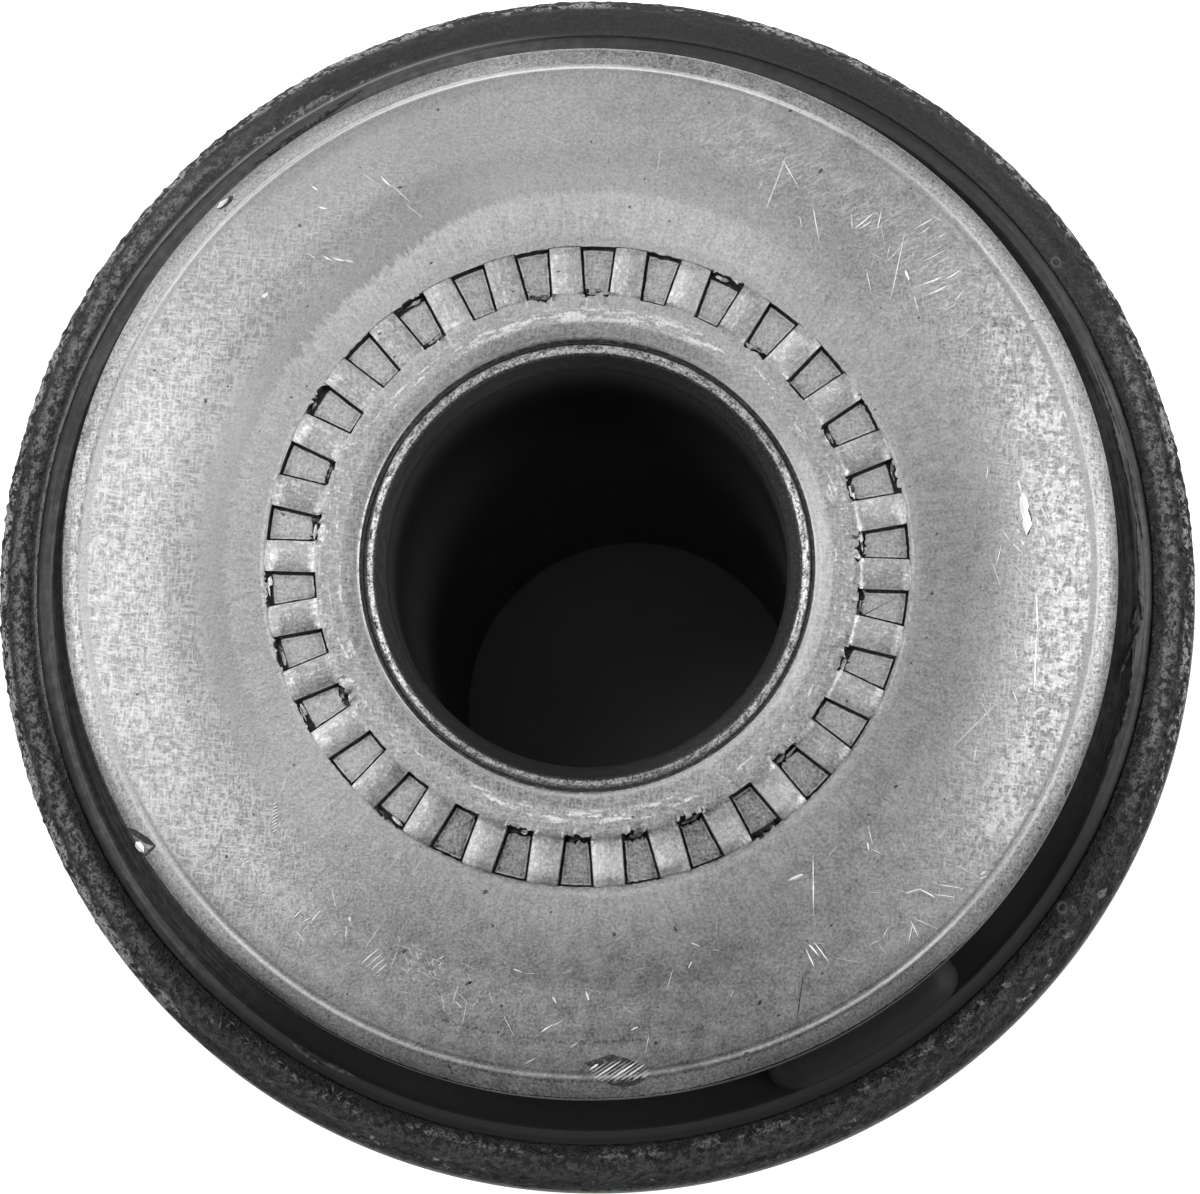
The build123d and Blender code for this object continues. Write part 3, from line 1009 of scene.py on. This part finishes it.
# Painted shade darkens the outer edge from four to ten o'clock.
edge_painted_shade = radius.rise(disc_radius - 0.12, disc_radius - 0.04) * clock.sector(130, 290, 15)
turned_arc = radius.band(28.4, 28.6, 0.06) * clock.sector(158, 202, 6) * threads.rise(0.46, 0.56)
tone = tone * (1 + shade) - edge_painted_shade * 0.2 - turned_arc * 0.11

# The pads are pressed bright, each a little otherwise; at the left and right some carry a painted
# glint at the outer end, and painted shade and light vary them by clock angle. The pocket floors
# are dull.
turn = (twelve_azimuth - degrees(first_pad) - clock) / degrees(pitch)
pad_index = turn.math("ROUND")
side = abs(turn - pad_index) * pitch * radius
in_ring_band = radius.band(seat_radius + 0.05, serration_radius - 0.02, 0.06)
on_pads = in_ring_band * side.rise(pad_half_width + 0.02, pad_half_width - 0.1)
in_pockets = in_ring_band - on_pads
pad_luck = (pad_index * 2.4).math("SINE")
pressed = (radius * 1.3).beside(clock * 1.1).noise(1.0, 2.0, 0.65)
pressed = on_pads * (pressed * 0.6 + flecks * 0.4).rise(0.48, 0.62)
oval = ((side / 0.46) ** 2.0 + ((radius - 18.78) / 0.3) ** 2.0).rise(1.2, 0.4)
# Painted highlight: a glint at the outer end of some pads at the left and right.
painted_pad_glint = oval * pad_luck.rise(0.3, 0.9) * clock.shares((40, 120, 15, 0.16), (240, 300, 15, 0.16))
low_end = radius.rise(17.9, 16.9) * clock.sector(125, 250, 15)
# Painted shade and light on the pads by clock angle, darker at their inner ends along the bottom.
pads_painted_shading = low_end * 0.05 + clock.shares(
    (215, 330, 15, 0.035), (55, 112, 12, 0.015), (134, 208, 12, -0.045))
tone += on_pads * (0.02 + painted_pad_glint - pads_painted_shading + pad_luck * 0.04 + (threads - 0.5) * 0.14)
from_middle = abs(radius - ring_middle)
# Painted highlight along the raised edge of each floor.
floor_rim_highlight = side.band(1.12, 1.19, 0.04).most(from_middle.band(1.25, 1.33, 0.04)) * mottle.rise(0.35, 0.55)
dull_floor_and_shade = from_middle.rise(0.8, 1.3) * threads.rise(0.4, 0.6) * 0.12 - 0.03
dull_floor_and_shade = dull_floor_and_shade - (flecks - 0.5) * 0.15 - (weave - 0.5) * 0.04 - (threads - 0.5) * 0.2
# Painted shade darkens the floors near their walls and, most, along the bottom.
dull_floor_and_shade += side.band(1.0, 1.3, 0.12) * (clock.sector(180, 330, 20) * 0.05 + 0.03)
dull_floor_and_shade += clock.shares((128, 212, 10, 0.11), (325, 432, 20, 0.03))
tone += pressed * 0.11 + in_pockets * (floor_rim_highlight * 0.14 - dull_floor_and_shade)
# Painted highlight on the ring's outer lip at the left and right, and painted shade at its foot along the
# bottom.
ring_lip_highlight = sides * threads.rise(0.4, 0.55) * 0.13 - clock.sector(145, 200, 10) * 0.04
ring_foot_shade = radius.band(19.2, 19.46, 0.05) * clock.sector(110, 222, 10) * 0.1
tone += radius.band(19.46, 19.62, 0.05) * ring_lip_highlight - ring_foot_shade

# The nut has burnished the seat in broken arcs.
contact_grain = (radius * 3.2).beside(clock * 0.13).noise(1.0, 2.0, 0.7) * 0.72 + flecks * 0.28
contact_grain += clock.shares((330, 393, 10, 0.08), (160, 205, 10, 0.06))
contact = radius.band(14.8, 15.6, 0.25) * contact_grain.rise(0.55, 0.66)
near_seat = radius.band(15.5, 16.3, 0.15) * clock.shares((225, 305, 15, 0.2), (66, 112, 10, 0.2))
near_seat *= (threads * 0.6 + flecks * 0.4).rise(0.54, 0.64)
inner_share = clock.shares((62, 128, 10, 0.14), (165, 395, 15, -0.07), (335, 395, 10, -0.03))
inner_burnish = radius.band(13.95, 14.7, 0.15) * inner_share
seat_tone = (weave - 0.45) * 0.07 + (threads - 0.5) * 0.14
seat_tone = radius.band(14.0, 16.25, 0.15) * seat_tone * (1 - clock.sector(305, 425, 15) * 0.6)
tone += contact * (0.3 - clock.sector(325, 395, 10) * 0.07) + near_seat + inner_burnish
tone += seat_tone - radius.band(15.5, 17.2, 0.2) * clock.sector(142, 208, 8) * 0.02
pits = spot.noise(2.4, 0.0).rise(0.15, 0.13)
tone *= 1 - pits * 0.7
rough = 0.42 + (mottle - 0.5) * 0.2 + (flecks - 0.5) * 0.25 - pressed * 0.08
wired(shader, Base_Color=tone, Roughness=rough)
bumped(shader, flecks, 0.35, 0.04)

# Dark grime, which also serves as painted shade in the pockets and at the bore's edge.
grime_and_painted_shade, shader, spot = finish("grime_and_painted_shade", {"Metallic": 0.2})
soot = spot.noise(4.0, 3.0, 0.6)
wired(shader, Base_Color=0.012 + soot.rise(0.45, 0.75) * 0.09, Roughness=0.55 + soot * 0.3)

rubbed_steel, shader, spot = finish("rubbed_steel", {"Metallic": 1.0})
wired(shader, Base_Color=0.36 + spot.noise(5.0, 2.0, 0.6) * 0.2, Roughness=0.3 + spot.noise(2.0) * 0.2)

torn_steel, shader, spot = finish("torn_steel", {"Metallic": 1.0})
sheen = spot.noise(4.0, 2.0, 0.6)
wired(shader, Base_Color=0.5 + sheen * 0.2, Roughness=0.3 + sheen * 0.25)

for material in (satin_steel, grime_and_painted_shade, torn_steel, rubbed_steel):
    disc.data.materials.append(material)
disc_pieces = [disc]

# Laps: thin leaves of metal that the punches folded over into the ends of the pockets.
lap_thickness = 0.08
for (pocket, end), share in raggedness.items():
    if share < 0.5:
        continue
    for lap in range(2):
        azimuth = first_pad + (pocket + 0.5 + random.uniform(-0.14, 0.14)) * pitch
        radius = end + copysign(random.uniform(0.1, 0.3), ring_middle - end)
        level = outer_face_level - random.uniform(0.2, 0.5)
        middle = Vector((radius * cos(azimuth), radius * sin(azimuth), level))
        outward = Vector((cos(azimuth), sin(azimuth), random.uniform(-0.5, 0.5)))
        sideways = Vector((-sin(azimuth), cos(azimuth), random.uniform(-0.2, 0.2)))
        long_side = random.uniform(0.2, 0.5)
        short_side = random.uniform(0.05, 0.14)
        outline = []
        for corner in range(9):
            angle = 2 * pi * corner / 9
            reach = sideways * long_side * cos(angle) + outward * short_side * sin(angle)
            outline.append(middle + reach * random.uniform(0.7, 1.3))
        leaf = drawn("lap", outline)
        bpy.ops.mesh.edge_face_add()
        raised(-lap_thickness)
        faced()
        leaf.data.materials.append(satin_steel)
        disc_pieces.append(leaf)


def top_level(radius):
    """Height in mm of the disc's upper surface at a radius, off the serrations."""
    if radius < flat_radius - 3:
        return face_level - 0.01
    upper = [point for point in disc_section if point[1] > disc_edge_level - 0.2]
    for outer, inner in zip(upper, upper[1:]):
        if inner[0] <= radius <= outer[0] and outer[0] > inner[0]:
            return outer[1] + (inner[1] - outer[1]) * (outer[0] - radius) / (outer[0] - inner[0])
    return disc_edge_level


def scar(material, clock, radius, heading, length, width, proud, shift=0, shift_heading=0):
    """A torn ridge or a stain on the disc, at a clock angle and radius and then shifted."""
    place = heading_vector(clock) * radius + heading_vector(shift_heading) * shift
    disc_pieces.append(sliver(top_level, place, heading, length, width, proud, material))


# A gouge just before three o'clock, with scratches below it.
for mark in ((82.9, 26.56, 158, 1.5, 0.4, 0.012), (84.6, 26.5, 178, 1.5, 0.36, 0.012)):
    scar(grime_and_painted_shade, *mark)
for mark in (
        (79.9, 26.38, 165, 1.1, 0.2, 0.05), (82.6, 26.42, 174, 1.9, 0.52, 0.06),
        (84.6, 26.47, 4, 1.5, 0.48, 0.07), (85.6, 25.9, 154, 0.28, 0.2, 0.05),
        (87.1, 26.1, 154, 0.4, 0.2, 0.05)):
    scar(torn_steel, *mark)
for mark in (
        (86, 25.11, 144, 0.8), (87.9, 25.78, 133, 1.1), (91.4, 26.1, 141, 2.4), (96, 27.06, 179, 2.3),
        (102.3, 27.43, 2, 3.5), (83.7, 27.57, 155, 1.1), (107.4, 26.82, 158, 1), (85.8, 28.37, 170, 0.7)):
    scar(torn_steel, *mark, 0.09, 0.02)
# Long scratches of handling.
for mark in (
        (45.8, 26.1, 12, 4.4), (33.6, 24.9, 170, 2.6), (27.2, 26.8, 151, 2.2), (344.2, 27.2, 84, 3.8),
        (352.6, 26.9, 84, 3.4), (355.4, 26.1, 114, 2.1), (112.7, 25.1, 45, 4), (36, 24.7, 109, 3.8),
        (26.1, 25.9, 20, 3.6), (117.5, 14.6, 11, 1.6), (145, 23.5, 0, 3.6), (234.1, 22.4, 17, 1),
        (333.6, 25.38, 135, 1.7), (334.3, 23.91, 129, 1.4), (330.9, 27.18, 129, 1),
        (44.6, 24.13, 169, 1.5), (43.2, 25.59, 120, 1.1), (300, 29.32, 45, 1.3),
        (310.7, 29.61, 159, 0.9), (116.1, 25.8, 8, 0.9)):
    scar(rubbed_steel, *mark, 0.06, 0.008)
# Short bright strokes where something sharp skated: at half past one, half past four, between
# seven and eight, between ten and eleven, and along the bottom. The broad ones are torn.
for mark in (
        (37.3, 26.31, 177, 1.1, 0.09), (38.6, 26.74, 49, 1.5, 0.1), (39.1, 26.6, 54, 1, 0.08),
        (40, 27.38, 12, 1.2, 0.09), (41.4, 26.89, 169, 1.3, 0.07), (44.3, 29.05, 59, 1.6, 0.1),
        (45, 28.8, 54, 0.8, 0.08), (45.1, 29.83, 121, 1.1, 0.08), (46.8, 29.31, 60, 0.6, 0.1),
        (48.1, 28.19, 61, 2, 0.09), (47.6, 28.62, 64, 1, 0.08), (50.3, 26.99, 67, 1.3, 0.12),
        (51.3, 28.19, 57, 1.4, 0.1), (51.7, 26.83, 63, 1.6, 0.12), (47.7, 26.04, 159, 0.7, 0.14),
        (49.2, 28.39, 62, 0.8, 0.08), (53.9, 27.68, 34, 0.8, 0.08), (54.5, 27, 52, 0.6, 0.07),
        (146.5, 22.54, 68, 1, 0.34), (139.5, 22.59, 42, 0.8, 0.07), (135.3, 23.82, 173, 0.5, 0.1),
        (135, 24.36, 118, 0.7, 0.07), (138.7, 26.21, 93, 1.1, 0.09), (135.2, 27.58, 72, 1, 0.14),
        (134.2, 28.23, 118, 1.1, 0.14), (133, 29.1, 97, 1.3, 0.14), (131.7, 29, 99, 1.5, 0.12),
        (129.1, 29.06, 116, 1.3, 0.08), (128, 29.98, 63, 0.4, 0.16), (128.4, 30.15, 67, 0.5, 0.12),
        (136.8, 29.49, 113, 1.6, 0.08), (138.2, 29.25, 155, 1.1, 0.07), (138.9, 29.29, 12, 1.2, 0.06),
        (141.1, 28.29, 27, 0.8, 0.07), (143, 28.34, 60, 0.5, 0.08), (142.6, 29.01, 141, 0.8, 0.06),
        (150.6, 27.03, 155, 1.2, 0.09), (149.7, 26.72, 138, 0.9, 0.13), (149, 26.98, 143, 1.6, 0.08),
        (225.3, 25.89, 54, 0.6, 0.08), (219.7, 27.1, 46, 0.8, 0.1), (218.4, 27.12, 60, 0.7, 0.1),
        (217.7, 26.48, 41, 0.9, 0.12), (217.8, 27.45, 55, 0.5, 0.08), (213.3, 26.23, 4, 0.8, 0.07),
        (213.8, 25.48, 169, 0.3, 0.14), (217.9, 28.02, 144, 0.8, 0.1), (229.3, 26.92, 61, 0.8, 0.1),
        (224, 26.8, 122, 0.6, 0.1), (222.7, 27.13, 126, 0.5, 0.1), (214.3, 26.64, 46, 0.4, 0.1),
        (324.5, 28.49, 128, 0.6, 0.12), (323.9, 27.12, 103, 0.6, 0.2), (323.6, 26.24, 98, 0.6, 0.1),
        (320.6, 26.24, 70, 0.8, 0.1), (320.1, 24.45, 118, 0.7, 0.12), (321.2, 23.96, 104, 0.8, 0.16),
        (322.3, 23.46, 103, 0.7, 0.14), (318.7, 25.18, 128, 0.6, 0.08), (316.8, 29.56, 87, 0.8, 0.08),
        (332.6, 26.43, 136, 1.1, 0.14), (314.9, 24.39, 51, 0.4, 0.1), (310.4, 25.55, 57, 0.45, 0.3),
        (189.7, 24.63, 112, 0.6, 0.12), (187.9, 24.69, 90, 0.7, 0.08), (185, 27.81, 57, 0.9, 0.12),
        (183.7, 27.47, 59, 0.7, 0.09), (174.2, 27.86, 64, 0.5, 0.12), (186.6, 29.82, 60, 0.8, 0.08),
        (181.6, 28.69, 58, 0.6, 0.09), (182.5, 24.31, 61, 0.5, 0.06), (164.2, 23.66, 112, 0.6, 0.12),
        (161.5, 24.37, 100, 0.7, 0.1), (165.6, 24.72, 27, 0.5, 0.08), (180, 25.76, 163, 0.6, 0.16),
        (184.3, 26.1, 150, 0.5, 0.1), (196.3, 27.37, 139, 0.6, 0.07), (194.3, 27.02, 51, 0.5, 0.07)):
    scar(torn_steel if mark[4] > 0.11 else rubbed_steel, *mark, 0.015)
# Two hatched tool marks, between seven and eight o'clock and at seven.
for row in range(9):
    step = row - 4
    scar(torn_steel, 231, 24, 58, 0.55 - abs(step) * 0.06, 0.18, 0.04, step * 0.2)
for row in range(4):
    scar(torn_steel, 208, 26.9, 50, 1.5 - row * 0.2, 0.09, 0.02, (row - 1.5) * 0.34, 140)
# The tool mark across the crown line at six o'clock: a stained hollow with torn stripes.
scar(grime_and_painted_shade, 177, 30, 97, 3.6, 1.3, 0.012)
scar(grime_and_painted_shade, 175.9, 30.85, 86, 2.5, 0.7, 0.012)
for row in range(12):
    reach = 1 - ((row - 5.5) / 6.5) ** 2
    width = random.uniform(0.08, 0.15)
    scar(torn_steel, 176.4, 30.3, 57, 2.3 * reach, width, 0.06, (row - 5.5) * 0.28, 100)
# A notch knocked into the edge at eight o'clock, a half-moon chip at half past ten and stains.
for material, *mark in (
        (grime_and_painted_shade, 239, 31.3, 123, 2.1, 0.4, 0.02), (grime_and_painted_shade, 237.2, 31.35, 51, 1.1, 0.25, 0.03),
        (torn_steel, 238.2, 31.7, 140, 0.8, 0.45, 0.07), (grime_and_painted_shade, 315.6, 31.4, 46, 1.2, 0.5, 0.02),
        (rubbed_steel, 315.3, 31.54, 48, 1, 0.34, 0.05), (grime_and_painted_shade, 195.8, 26, 64, 0.5, 0.2, 0.01),
        (grime_and_painted_shade, 195.3, 31.14, 154, 0.6, 0.16, 0.01),
        (grime_and_painted_shade, 153.9, 28.8, 8, 2.4, 0.09, 0.006), (grime_and_painted_shade, 115.1, 31.7, 20, 0.8, 0.3, 0.03)):
    scar(material, *mark)
# Finer scratches, thickest where the disc is handled, and a scuff between six and seven.
for count, (from_clock, to_clock), (from_radius, to_radius), finest in (
        (30, (50, 120), (24.5, 30.3), 0.03), (24, (215, 330), (23.5, 30.3), 0.03),
        (16, (185, 215), (25, 28), 0.03), (12, (0, 50), (22, 29), 0.03),
        (16, (120, 180), (22, 29), 0.03), (26, (200, 204.5), (25, 26.8), 0.07)):
    longest, shortest = (1.6, 0.3) if finest < 0.05 else (0.5, 0.2)
    for scratch in range(count):
        place = (random.uniform(from_clock, to_clock), random.uniform(from_radius, to_radius))
        course = random.gauss(random.choice((15, 70, 110, 160)), 14)
        length = random.uniform(shortest, longest)
        scar(rubbed_steel, *place, course, length, random.uniform(finest, finest + 0.03), 0.006)

joined(disc_pieces)
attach(disc, "root")
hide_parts("stop_disc")


# Floor finish. Pale studio paper with a faint tooth, which glows evenly all round the part, and
# is painted darker, as painted shade, where it lies at the bottom of the bore.
paper, shader, spot = finish("pale_paper", {"Roughness": 0.9, "Emission Strength": 0.35})
radius, clock = polar(spot)
# Painted shade: darker inside the bore's radius.
tone = 0.9 + spot.noise(0.05) * 0.04 - radius.rise(12.6, 12.4) * 0.3
wired(shader, Base_Color=tone, Emission_Color=radius.rise(22.0, 34.0))
floor.data.materials.append(paper)
